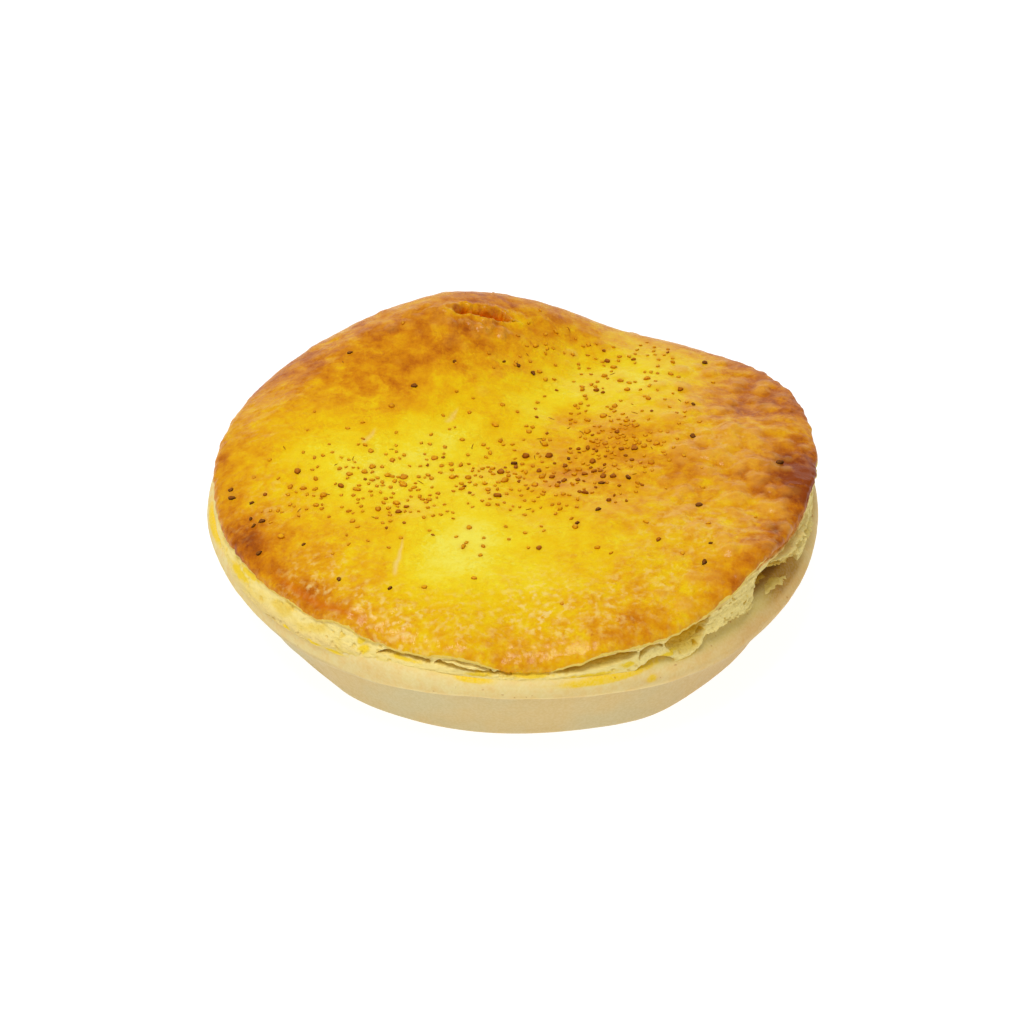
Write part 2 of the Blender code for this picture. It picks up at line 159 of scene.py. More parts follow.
def bell(distance):
    return np.exp(-distance * distance)


def bells(x, y, terms):
    """A bell on the lid for each (x, y, radius, size)."""
    return [size * bell(np.hypot(x - middle_x, y - middle_y) / radius)
            for middle_x, middle_y, radius, size in terms]


def angle_between(first, second):
    """Degrees from one direction to another, from -180 to 180."""
    return (first - second + 180.0) % 360.0 - 180.0


def bell_round(degrees, middle, half_angle):
    return bell(angle_between(degrees, middle) / half_angle)


def plateau(degrees, middle, half_angle, size=1.0):
    """A rise over a stretch of the edge, level in its middle and steep at its ends."""
    return size * bell((angle_between(degrees, middle) / half_angle) ** 2)


def humps(angle, terms):
    """A sum of bells round the pie, each (middle angle, half angle, size)."""
    return sum(size * bell_round(np.degrees(angle), *place) for *place, size in terms)


def measures(degrees, keys, period=None):
    """Measures along the edge, from keys of an angle and each measure there."""
    angles, *rest = np.array(keys, float).T
    return [np.interp(degrees, angles, measure, period=period) for measure in rest]


def blend(low, high, value):
    """0 at low, 1 at high, and smooth between them."""
    t = np.clip((value - low) / (high - low), 0.0, 1.0)
    return t * t * (3.0 - 2.0 * t)


def rough(points, spacing, seed=0):
    """Smooth noise from -1 to 1 at each point, its features about the spacing apart."""
    places = points.reshape(-1, 3) / spacing + 17.3 * seed
    return np.array([noise.noise(place) for place in places.tolist()]).reshape(points.shape[:-1])


def creased(points, spacing, seed):
    """Noise from 0 to 1 with sharp crests, as crinkled skin has."""
    return 1.0 - np.minimum(np.abs(rough(points, spacing, seed)) * 2.2, 1.0)


def flat(x, y):
    return np.stack([x, y, np.zeros_like(x)], -1)


def on_ring(angle, radius, height=0.0):
    return np.stack([radius * np.cos(angle), radius * np.sin(angle), height + 0.0 * angle], -1)


def lid_outline(angle):
    return LID_RADIUS + waves(angle, LID_WAVES)


def brown_edge(angle):
    return BROWN_EDGE + waves(angle, BROWN_EDGE_WAVES) + humps(angle, EDGE_RISES)


def lid_height(x, y):
    """Height of the lid's browned skin over places on the pie."""
    angle = np.arctan2(y, x)
    share = np.minimum(np.hypot(x, y) / lid_outline(angle), 1.0)
    crown = CROWN + sum(bells(x, y, SWELLS))
    shoulder = (1.0 - share ** SHOULDER) ** (1.0 / SHOULDER_ROUND)
    bumps = BUMPS * rough(flat(x, y), BUMP_SPACING) * blend(1.0, 0.8, share)
    edge = BROWN_EDGE + waves(angle, BROWN_EDGE_WAVES) * share ** 2
    edge = edge + humps(angle, EDGE_RISES) * share ** EDGE_RISE_POWER
    return edge + crown * shoulder + bumps


def tear_depth(degrees, height):
    """How far the side is torn back at a height above the shelf."""
    return np.max([plateau(degrees, middle, half_angle, deepest) * bell((height - level) / half_height)
                   for middle, half_angle, level, half_height, deepest in TEARS], axis=0)


def hollow_depth(degrees, height, teeth):
    """How far the front's side is torn back; the teeth notch the upper edges."""
    depth = 0.0 * degrees
    for keys, deepest, ragged in HOLLOWS:
        top, foot = measures(degrees, keys)
        top = top + ragged * teeth
        rise = np.clip((height - foot) / np.maximum(top - foot, 0.05), 0.0, 1.0)
        inside = (degrees > keys[0][0]) & (degrees < keys[-1][0]) & (top > foot + 0.05)
        depth = np.maximum(depth, deepest * rise ** 0.6 * blend(top, top - 0.14, height) * inside)
    return depth


def side_foot(angle):
    """Radius at which the torn side meets the case."""
    bare = plateau(np.degrees(angle), *BARE_SHELF)
    return LIP_RADIUS + waves(angle, LIP_WAVES) - SIDE_STEP - bare


def rim_drop(angle, radius):
    """How far the case's top sinks towards its rim."""
    return plateau(np.degrees(angle), *RIM_DROOP) * blend(*DROOP_RADII, radius)


# Meshes

def numbered(rows, columns, first=0):
    """A table of point numbers, row by row."""
    return np.arange(first, first + rows * columns).reshape(rows, columns)


def quads(numbers):
    """Faces between neighbours in a table of point numbers, its rows running outward or down."""
    corners = (numbers[:-1, :-1], numbers[1:, :-1], numbers[1:, 1:], numbers[:-1, 1:])
    return np.stack(corners, -1).reshape(-1, 4)


def closed(numbers, axis):
    """A table with its first row or column repeated at its end."""
    return np.append(numbers, numbers.take([0], axis), axis)


def ring_quads(numbers):
    """Such faces where each row is a ring."""
    return quads(closed(numbers, 1))


def fan(ring, middle, upward):
    """Triangles from a ring of points to one in its middle."""
    after = np.roll(ring, -1)
    ends = (ring, after) if upward else (after, ring)
    return np.stack([*ends, np.full_like(ring, middle)], -1)


def normals_of(points, faces):
    corners = points[faces]
    across = np.cross(corners[:, 2] - corners[:, 0], corners[:, 3] - corners[:, 1])
    total = np.zeros_like(points)
    for corner in range(4):
        np.add.at(total, faces[:, corner], across)
    return total / np.maximum(np.linalg.norm(total, axis=1, keepdims=True), 1e-12)


def add_object(name, data):
    thing = bpy.data.objects.new(name, data)
    bpy.context.scene.collection.objects.link(thing)
    return thing


def new_piece(name, points, faces, finish, values, rest=0.0):
    """A smooth mesh from points in millimetres; points beyond the end of a value have the rest."""
    mesh = bpy.data.meshes.new(name)
    places = (points + np.array([*CENTRING, 0.0])) * MM
    mesh.from_pydata(places.tolist(), [], [face for group in faces for face in group.tolist()])
    for key, value in values.items():
        layer = mesh.attributes.new(key, "FLOAT", "POINT")
        value = np.append(value, np.full(len(points) - np.size(value), rest))
        layer.data.foreach_set("value", value.astype(np.float32))
    mesh.shade_smooth()
    mesh.materials.append(finish)
    return add_object(name, mesh)


# Finishes

def srgb(red, green, blue):
    """A colour as a screen shows it, from 0 to 255, in the renderer's own units."""
    parts = [part / 255.0 for part in (red, green, blue)]
    parts = [part / 12.92 if part < 0.04045 else ((part + 0.055) / 1.055) ** 2.4 for part in parts]
    return (*parts, 1.0)


def fill(node, inputs):
    """Link a node's inputs to other nodes' outputs, or set them, by name or number."""
    for name, value in inputs.items():
        if isinstance(value, bpy.types.NodeSocket):
            node.id_data.links.new(value, node.inputs[name])
        else:
            node.inputs[name].default_value = value


class Finish:
    """A material under construction: each method adds a node and returns its output."""

    def __init__(self, name, roughness, specular, coat=0.0, coat_roughness=0.3):
        self.material = bpy.data.materials.new(name)
        self.material.use_nodes = True
        self.nodes = self.material.node_tree.nodes
        self.shader = self.nodes["Principled BSDF"]
        fill(self.shader, {"Roughness": roughness, "Specular IOR Level": specular,
                           "Coat Weight": coat, "Coat Roughness": coat_roughness})
        self.place = self.add("TexCoord", {}).outputs["Object"]

    def add(self, kind, inputs, **traits):
        node = self.nodes.new("ShaderNode" + kind)
        for trait, value in traits.items():
            setattr(node, trait, value)
        fill(node, inputs)
        return node

    def value(self, name):
        return self.add("Attribute", {}, attribute_type="GEOMETRY", attribute_name=name).outputs["Fac"]

    def noise(self, size_mm, detail=3.0, stretch=None, distortion=0.0, roughness=0.5):
        """Noise from 0 to 1 whose features are about size_mm across."""
        place = self.place
        if stretch:
            place = self.add("Mapping", {"Vector": place, "Scale": stretch}).outputs["Vector"]
        inputs = {"Vector": place, "Scale": 1.0 / (size_mm * MM), "Detail": detail,
                  "Distortion": distortion, "Roughness": roughness}
        return self.add("TexNoise", inputs).outputs["Fac"]

    def math(self, operation, first, second):
        return self.add("Math", {0: first, 1: second}, operation=operation).outputs[0]

    def sway(self, signal, amount, base):
        """base plus a 0-to-1 signal's swing about its middle, times an amount."""
        return self.math("ADD", base, self.math("MULTIPLY", self.math("SUBTRACT", signal, 0.5), amount))

    def remap(self, value, low, high, new_low=0.0, new_high=1.0):
        inputs = dict(enumerate((value, low, high, new_low, new_high)))
        return self.add("MapRange", inputs, interpolation_type="SMOOTHSTEP").outputs["Result"]

    def ramp(self, value, stops):
        node = self.add("ValToRGB", {"Fac": value})
        stones = node.color_ramp.elements
        while len(stones) < len(stops):
            stones.new(0.5)
        for stone, (position, color) in zip(stones, stops):
            stone.position = position
            stone.color = srgb(*color)
        return node.outputs["Color"]

    def mix(self, share, first, second):
        colors = [srgb(*color) if isinstance(color, tuple) else color for color in (first, second)]
        inputs = {"Factor": share, 6: colors[0], 7: colors[1]}  # 6 and 7 are the colours A and B
        return self.add("Mix", inputs, data_type="RGBA").outputs[2]

    def layers(self, color, *layers):
        """A colour with others over it, each (share, colour); a share is a signal or a value's name."""
        for share, tone in layers:
            color = self.mix(self.value(share) if isinstance(share, str) else share, color, tone)
        return color

    def relief(self, height, depth_mm, under=None):
        """A bump whose height signal runs from 0 to 1 over depth_mm."""
        inputs = {"Strength": 1.0, "Distance": depth_mm * MM, "Height": height}
        if under is not None:
            inputs["Normal"] = under
        return self.add("Bump", inputs).outputs["Normal"]

    def finish(self, color, normal, roughness=None):
        fill(self.shader, {"Base Color": color, "Normal": normal})
        if roughness is not None:
            fill(self.shader, {"Roughness": roughness})
        return self.material


# The browning of egg-washed pastry, from raw yellow to dark brown.
BROWNING = (
    (0.00, (238, 222, 76)), (0.14, (236, 208, 26)), (0.30, (232, 188, 0)), (0.46, (224, 160, 2)),
    (0.62, (208, 130, 0)), (0.78, (184, 100, 0)), (1.00, (140, 60, 0)),
)
# Torn dough, from its own colour on its face to the painted shade in the depth of a hollow.
DOUGH_AND_SHADE_TONES = (
    (0.0, (242, 220, 138)), (0.25, (234, 204, 98)), (0.55, (212, 164, 26)), (1.0, (178, 120, 0)),
)


def skin_finish():
    look = Finish("browned_skin", 0.5, 0.04, coat=0.24, coat_roughness=0.15)
    marbled = look.noise(3.6, 5.0, distortion=0.25, roughness=0.62)
    flecked = look.noise(1.0, distortion=0.5)
    fine = look.noise(0.5)
    patchy = look.remap(look.noise(5.0), 0.40, 0.62, 0.25)
    baked = look.sway(look.noise(9.0), 0.20, look.value("browning"))
    baked = look.sway(marbled, look.remap(look.value("browning"), 0.1, 0.7, 0.30, 0.95), baked)
    baked = look.sway(flecked, look.math("MULTIPLY", patchy, 0.34), baked)
    baked = look.sway(fine, 0.10, baked)
    crinkled = look.remap(look.noise(1.1, 4.0), 0.42, 0.62)
    ragged = look.sway(look.noise(0.9), 0.7, look.value("pale"))
    color = look.layers(
        look.ramp(baked, BROWNING),
        # painted highlight: cream over the crinkles, where the glaze would catch the light
        (look.math("MULTIPLY", look.value("cream_highlight"), crinkled), (242, 212, 132)),
        # blister tops painted lighter: partly their own paler colour, partly a painted highlight
        ("blister_pale_and_sheen", (226, 162, 62)),
        ("stain", (208, 122, 6)),
        ("crack", (238, 205, 140)),
        ("furrow", (208, 108, 0)),
        ("glow", (226, 100, 0)),
        (look.remap(ragged, 0.42, 0.58), (228, 198, 92)),
    )
    gloss = look.sway(look.noise(3.0, 2.0), 0.16, look.math("SUBTRACT", 0.5, look.value("gloss")))
    coarse = look.relief(look.math("MULTIPLY", flecked, patchy), 0.24)
    return look.finish(color, look.relief(fine, 0.07, coarse), gloss)


def dough_finish():
    """Torn, steamed dough: creamy yellow, with painted shade, olive to brown, deep in its hollows."""
    look = Finish("torn_dough", 0.62, 0.12)
    layered = look.noise(1.2, 4.0, stretch=(1.0, 1.0, 3.0))
    crumb = look.noise(0.4, 4.0)
    dab = look.sway(look.noise(0.9, 4.0), 0.9, look.value("yolk"))
    color = look.layers(
        # the dough's own colour, with painted shade deep in the tears, pores and folds
        look.ramp(look.sway(layered, 0.35, look.value("hollow_shade")), DOUGH_AND_SHADE_TONES),
        ("plain", (232, 204, 126)),
        (look.remap(dab, 0.35, 0.85, 0.0, 0.9), (237, 200, 26)),
        ("toast", (204, 126, 16)),
    )
    normal = look.relief(crumb, 0.12, look.relief(layered, 0.3))
    return look.finish(color, normal, look.remap(crumb, 0.3, 0.7, 0.5, 0.7))


def shortcrust_finish():
    look = Finish("shortcrust_face", 0.58, 0.12)
    mottled = look.noise(2.2, 4.0)
    flour = look.noise(0.5)
    # the wall below the lip is painted duller and darker than the lip: partly its own colour, partly
    # painted shade
    wall = look.mix(look.remap(look.noise(14.0), 0.35, 0.65), (208, 190, 138), (214, 186, 124))
    lip = look.mix(look.remap(mottled, 0.35, 0.7), (232, 210, 140), (232, 200, 124))
    yolk = look.sway(look.noise(1.6, 4.0), 0.5, look.value("yolk"))
    freckle = look.remap(look.noise(0.9, 0.0), 0.80, 0.84, 0.0, 0.5)
    color = look.layers(
        look.mix(look.value("lip"), wall, lip),
        ("shelf", (222, 202, 116)),
        # painted shade on the shelf under the lid and within the deep hollow
        ("deep", (174, 124, 14)),
        (look.remap(yolk, 0.3, 0.8), (238, 200, 34)),
        ("toast", (206, 150, 78)),
        (look.remap(flour, 0.35, 0.65, 0.0, 0.10), (250, 240, 205)),
        (look.math("MULTIPLY", freckle, look.value("lip")), (180, 110, 40)),
    )
    normal = look.relief(flour, 0.05, look.relief(mottled, 0.16))
    return look.finish(color, normal, look.remap(mottled, 0.3, 0.7, 0.5, 0.66))


def grain_finish(name, rim, top):
    """A glazed grain, with painted shade: darker towards its lower side, where it meets the crust."""
    look = Finish(name, 0.5, 0.06, coat=0.08, coat_roughness=0.25)
    # painted shade on the lower side, then a darker tint at random
    color = look.layers(top, ("rim", rim), ("tint", rim))
    return look.finish(color, look.relief(look.noise(0.25, 2.0), 0.05))


# The browned skin

# Where the skin is baked less or more: (x, y, radius, amount).
BAKED = (
    # the yellow band, from the left to the lower middle
    (-36, -4, 9, -0.12), (-26, -8, 13, -0.2), (-12, -4, 11, -0.17), (-12, 8, 8, -0.14),
    (-12, -34, 9, -0.3), (-8, -24, 9, -0.2), (4, -40, 9, -0.12), (6, -26, 10, -0.1),
    # the yellow valley behind the middle
    (26, 27, 12, -0.2), (12, 22, 8, -0.18), (11, 13, 4, 0.2), (4, 14, 7, -0.14),
    # orange under the thickest seasoning, and towards the right
    (14, -5, 9, 0.16), (21, 6, 6, 0.14), (36, -4, 11, 0.2), (30, -18, 9, 0.06),
    # the brown right side
    (52, 16, 11, 0.34), (56, -7, 9, 0.6), (54, -15, 6, 0.16), (51, -27, 9, 0.28), (42, -39, 9, 0.18),
    (42, 18, 8, 0.16), (46, 32, 9, 0.22), (36, 46, 9, 0.2), (26, 56, 8, 0.14),
    # the brown hill at the back left
    (-20, 26, 10, 0.13), (-8, 32, 9, 0.16), (-28, 36, 14, 0.22), (-6, 46, 13, 0.28), (12, 45, 10, 0.18),
    (-45, 27, 11, 0.26), (-34, 18, 10, 0.1), (-20, 18, 7, 0.12),
    # round the left and front edges
    (-55, 2, 8, 0.14), (-52, -12, 8, 0.1), (-51, -21, 4.5, 0.38), (-48.5, -27, 3.5, 0.2),
    # along the glazed fold
    (-43.5, -32.2, 2.8, 0.12), (-41, -34.8, 2.6, 0.12), (-38, -38, 2.6, 0.14), (-35, -40.6, 2.4, 0.12),
    (-31.5, -43.6, 2.2, 0.08), (-42, -28, 10, 0.14), (-32, -42, 8, 0.11), (-20, -47, 8, 0.02),
    (0, -57, 8, 0.08), (20, -50, 9, 0.16),
)
BAKED_BASE = 0.36

# Places where the lid has cracked: start, end, half width and strength.
CRACKS = (
    ((-19.7, -25.6), (-22.1, -38.1), 0.45, 0.55),
    ((-26.4, 6.4), (-28.5, 1.1), 0.40, 0.35),
    ((-10.5, 13.9), (-13.1, 8.8), 0.40, 0.35),
)
# The glazed fold inside the front left edge: middle angle, half angle, share of the radius at
# which it runs, half width as a share, and depth.
FURROW = (229.0, 12.0, 0.971, 0.013, 0.45)

# Width of the pale rim below the browning, as keys of (angle, width).
PALE_RIM = (
    (2, 0.3), (90, 0.2), (200, 0.2), (214, 0.1), (222, 0.3), (227, 0.1), (232, 0.3), (238, 0.5),
    (241, 0.2), (246, 0.2), (253, 0.35), (257, 0.5), (264, 0.45), (268, 0.05), (276, 0), (279, 0.25),
    (285, 0.4), (292, 0.45), (298, 0.5), (303, 0.2), (308, 0.35), (312, 0.5), (318, 0.45), (323, 0.2),
    (327, 0), (348, 0), (354, 0.3),
)

# Painted highlights, creamy where the crinkled glaze would catch the light: (x, y, radius, strength).
CREAMY_HIGHLIGHTS = (
    (-36, -36, 7, 0.7), (-27, -44, 6, 0.8), (-19, -50, 7, 0.9), (-8, -50, 7, 0.6), (6, -47, 9, 0.9),
    (18, -45, 8, 0.7), (28, -40, 8, 0.5), (32, -26, 9, 0.5), (44, -24, 8, 0.3), (40, 4, 9, 0.3),
    (-46, -14, 8, 0.3),
)

# How the cut edge rolls under: (outward, down, paleness).
ROLL = (
    (0.05, 0.10, 0.9), (0.04, 0.26, 1.0), (-0.15, 0.40, 1.0), (-0.5, 0.48, 1.0), (-1.6, 0.48, 1.0),
    (-5.0, 0.2, 1.0),
)


def disc_grid(cells):
    """An even grid over a disc: its points' shares of the radius and angles, faces and rim."""
    steps = np.linspace(-1.0, 1.0, cells + 1)
    across, along = [part.ravel() for part in np.meshgrid(steps, steps, indexing="ij")]
    share = np.maximum(np.abs(across), np.abs(along))
    wide = np.abs(across) >= np.abs(along)
    larger = np.where(wide, across, along)
    smaller = np.where(wide, along, across)
    lean = math.pi / 4.0 * smaller / np.where(larger == 0.0, 1.0, larger)
    angle = np.where(wide, lean, math.pi / 2.0 - lean) + np.where(larger < 0.0, math.pi, 0.0)
    edge = np.flatnonzero(share > 1.0 - 0.5 / cells)
    edge = edge[np.argsort(angle[edge] % math.tau)]
    return share, angle % math.tau, quads(numbered(cells + 1, cells + 1)), edge


def distance_to_line(x, y, start, end):
    """Distance of places from a stretch of line, and how far along it they are."""
    run = np.subtract(end, start)
    away = np.stack([x, y], -1) - start
    along = np.clip(away @ run / (run @ run), 0.0, 1.0)
    return np.linalg.norm(away - run * along[:, None], axis=1), along


def vent_share(x, y):
    """0 in the vent's middle and 1 at its torn edge."""
    away = x - VENT_PLACE[0] + 1j * (y - VENT_PLACE[1])
    away = away * np.exp(-1j * math.radians(VENT_TURN))
    torn = 0.22 * rough(flat(x, y), 2.4, 3) + 0.14 * rough(flat(x, y), 0.9, 4)
    return np.hypot(away.real / VENT_SIZE[0], away.imag / VENT_SIZE[1]) + torn


def scatter_blisters(draw):
    """Small round blisters: (x, y, radius, height)."""
    blisters = []
    for _ in range(230):  # the right side
        x, y, radius = draw.gauss(43.0, 9.0), draw.gauss(-10.0, 22.0), draw.uniform(0.6, 1.9)
        if math.hypot(x, y) < 57.0 and x > 24.0:
            blisters.append((x, y, radius, draw.uniform(0.10, 0.30) * radius))
    for _ in range(70):  # the hill
        x, y, radius = draw.gauss(-16.0, 12.0), draw.gauss(36.0, 6.0), draw.uniform(0.6, 1.6)
        blisters.append((x, y, radius, draw.uniform(0.06, 0.18) * radius))
    for _ in range(26):  # below the vent
        x, y = draw.gauss(VENT_PLACE[0], 3.6), draw.gauss(VENT_PLACE[1] - 4.6, 1.0)
        blisters.append((x, y, draw.uniform(0.5, 0.9), draw.uniform(0.2, 0.4)))
    return blisters


def near_grains(x, y, grains):
    """Share of stain that the glaze has taken from the grains round each place."""
    stain = np.zeros_like(x)
    for place, size in grains:
        close = (np.abs(x - place[0]) < 2.2 * size) & (np.abs(y - place[1]) < 2.2 * size)
        distance = np.hypot(x[close] - place[0], y[close] - place[1])
        stain[close] = np.maximum(stain[close], 0.3 * bell(distance / (0.7 * size)))
    return stain


def make_skin(grains):
    share, angle, disc_faces, edge = disc_grid(SKIN_CELLS)
    count = len(edge)
    rim_angle = angle[edge]
    steps = 1.0 - (1.0 - SKIN_DISC_SHARE) * (1.0 - np.arange(1, RIM_ROWS + 1) / RIM_ROWS) ** 1.8
    share = np.append(share * SKIN_DISC_SHARE, np.repeat(steps, count))
    angle = np.append(angle, np.tile(rim_angle, RIM_ROWS))
    radius = share * lid_outline(angle)
    x, y = radius * np.cos(angle), radius * np.sin(angle)
    points = np.stack([x, y, lid_height(x, y)], -1)

    above_edge = points[:, 2] - brown_edge(angle)
    width, = measures(np.degrees(angle), PALE_RIM, 360.0)
    ring = on_ring(angle, NOISE_RING, above_edge)
    ragged = 0.45 * rough(ring, 2.2, 19) + 0.25 * rough(ring, 0.7, 20)
    pale = 0.9 * blend(0.2, -0.2, above_edge - width * (1.0 + 1.6 * ragged) + 0.15) * (share > 0.9)
    rim_pale = blend(-0.1, 0.25, width[-count:])
    for out, down, paleness in ROLL:
        low_ring = on_ring(rim_angle, lid_outline(rim_angle) + out, brown_edge(rim_angle) - down)
        points = np.concatenate([points, low_ring])
        pale = np.append(pale, rim_pale * paleness)
        angle = np.append(angle, rim_angle)
        share = np.append(share, np.ones(count))
    on_top = np.arange(len(share)) < len(share) - len(ROLL) * count
    x, y = points[:, 0], points[:, 1]
    places = flat(x, y)

    rows = np.concatenate([[edge], numbered(RIM_ROWS + len(ROLL), count, (SKIN_CELLS + 1) ** 2)])
    faces = np.concatenate([disc_faces, ring_quads(rows)])
    normals = normals_of(points, faces)

    # Relief, along the surface's normals.
    front = blend(-22.0, -42.0, y) * bell((x + 4.0) / 46.0)
    right = bell((x - 47.0) / 20.0) * bell((y + 2.0) / 40.0)
    left = bell((x + 46.0) / 14.0) * bell((y + 4.0) / 34.0)
    back = blend(14.0, 34.0, y) * bell((x + 14.0) / 34.0)
    crinkle = 0.5 + 0.6 * rough(flat(x * 0.75, y) + 0.5 * rough(places, 2.2, 5)[:, None], 1.15, 6)
    fine = creased(places, 0.95, 7)
    wrinkles = creased(flat(x * 0.8 + 0.2 * y, y) + 0.9 * rough(places, 6.0, 8)[:, None], 3.4, 9)
    lift = 0.26 * (front + 0.6 * left) * (crinkle - 0.5) + 0.10 * (front + left) * (fine - 0.5)
    lift += 0.16 * (right + 0.5 * back) * (wrinkles - 0.6)
    lift += 0.10 * rough(places, 3.2, 10) * (0.4 + right + back + left)
    lift += 0.16 * rough(places + 0.8 * rough(places, 4.0, 29)[:, None], 2.6, 30) * (right + 0.4 * back)
    lift += 0.05 * rough(places, 1.2, 11)
    # painted highlight: where the crinkled glaze would catch the light, painted cream
    cream_highlight = np.max(bells(x, y, CREAMY_HIGHLIGHTS), axis=0)
    cream_highlight = cream_highlight * blend(0.25, 0.85, crinkle + 0.25 * rough(places, 1.0, 16))

    # the blisters' tops, painted lighter: partly their own paler colour, partly a painted highlight
    blister_pale_and_sheen = np.zeros_like(x)
    for middle_x, middle_y, radius, height in scatter_blisters(random.Random(3)):
        dome = bell((np.hypot(x - middle_x, y - middle_y) / radius) ** 2)
        lift += height * dome
        blister_pale_and_sheen = np.maximum(blister_pale_and_sheen, dome * min(1.0, height * 2.4))

    crack = np.zeros_like(x)
    bent = x + 0.7 * rough(places, 3.0, 17)
    for start, end, half_width, strength in CRACKS:
        distance, along = distance_to_line(bent, y, start, end)
        taper = blend(0.0, 0.4, along) * blend(1.0, 0.85, along)
        line = bell(distance / (half_width * (0.4 + 0.8 * along))) * taper
        lift -= 0.12 * line
        crack = np.maximum(crack, strength * line)
    middle, half_angle, run, half_width, depth = FURROW
    ring = on_ring(angle, NOISE_RING)
    furrow = plateau(np.degrees(angle), middle, half_angle)
    furrow = furrow * bell((share - run - 0.003 * rough(ring, 5.0, 18)) / half_width)
    lift -= depth * furrow

    vent = vent_share(x, y)
    pit = blend(1.05, 0.75, vent)
    lip = bell((vent - 1.3) / 0.25)
    lift += 0.5 * lip * (0.6 + rough(places, 1.3, 12))
    lift *= on_top
    points = points + normals * lift[:, None]
    points[:, 2] -= VENT_SIZE[2] * pit * on_top
    flap = bell((vent - 1.05) / 0.3) * (y > VENT_PLACE[1]) * on_top
    points[:, 1] -= 0.9 * flap * (0.6 + rough(places, 1.6, 28))

    # The edge is ragged.
    rim = blend(0.975, 1.0, share)
    points[:, 2] += 0.22 * (rough(ring, 2.6, 13) + 0.8 * rough(ring, 0.9, 14)) * rim
    points[:, :2] *= (1.0 + 0.35 * rough(ring, 1.7, 15) * rim / LID_RADIUS)[:, None]

    browning = BAKED_BASE + sum(bells(x, y, BAKED))
    browning += 0.12 * blend(0.88, 0.99, share) * (0.35 + right + back + left)
    browning += 0.14 * right * (0.5 - wrinkles) - 0.16 * lip * back
    values = {
        "browning": browning,
        "pale": pale,
        "blister_pale_and_sheen": 0.5 * blister_pale_and_sheen * on_top,
        # painted highlight, in cream
        "cream_highlight": cream_highlight * on_top,
        "crack": crack,
        "furrow": 0.7 * furrow * on_top,
        "stain": near_grains(x, y, grains) * on_top,
        "glow": 0.9 * pit * on_top,
        "gloss": 0.2 * furrow + 0.08 * front,
    }
    closing = fan(rows[-1], len(points), upward=False)
    points = np.concatenate([points, [[0.0, 0.0, LID_UNDERSIDE + 0.5]]])
    return new_piece("browned_skin", points, [faces, closing], skin_finish(), values)


# The torn side

# Dabs of egg wash that ran down the side: (angle, half angle, height above the shelf, half height).
SIDE_DABS = (
    (241.8, 1.5, 0.3, 1), (250, 4, 0.6, 0.4), (264, 3, 0.3, 0.5), (273, 6, 0.4, 0.6), (284, 6, -0.4, 0.6),
    (291, 2, 0.3, 0.8), (299, 2.5, -0.2, 0.6), (239.4, 0.9, 3.4, 1.6), (240.8, 1.1, 1.6, 1.3),
    (207, 5, -0.2, 0.8), (224, 1.3, -2.3, 0.45), (231.5, 2.6, -2, 0.35), (235.5, 3, -2.1, 0.4),
    (210, 5, 1, 0.7),
)
# Where the browning runs down over the side: middle angle, half angle and how far.
GLAZE_RUN = (337.0, 15.0, 3.4)
# Where the side runs on over the lip without a step: middle angle, half angle and how far down.
FLUSH_SIDE = (222, 24, 2.4)
# How flaky the side is, as keys of (angle, share).
TORN_SHARE = (
    (0, 1), (190, 0.6), (205, 0.6), (222, 0.9), (238, 1), (246, 0.8), (272, 0.7), (290, 0.7), (300, 0.5),
    (308, 1.6), (325, 1.9), (345, 2.2),
)
HOLLOW_SHADE_DEPTH = 2.6  # a hollow has its darkest painted shade from this depth on
INNER_STEP = 12.0  # how far the side's hidden faces reach in
COVER = 0.05  # how far the side goes below the case's top


def dabs(degrees, height, places):
    """Share of egg wash at each angle and height."""
    return np.max([bell_round(degrees, middle, half_angle) * bell((height - level) / half_height)
                   for middle, half_angle, level, half_height in places], axis=0)


def glaze_share(degrees, below):
    """Share of browning that has run down from the edge, at a depth below it."""
    run = plateau(degrees, *GLAZE_RUN)
    return blend(run + 0.05, 0.4 * run, below) * blend(0.2, 0.6, run)


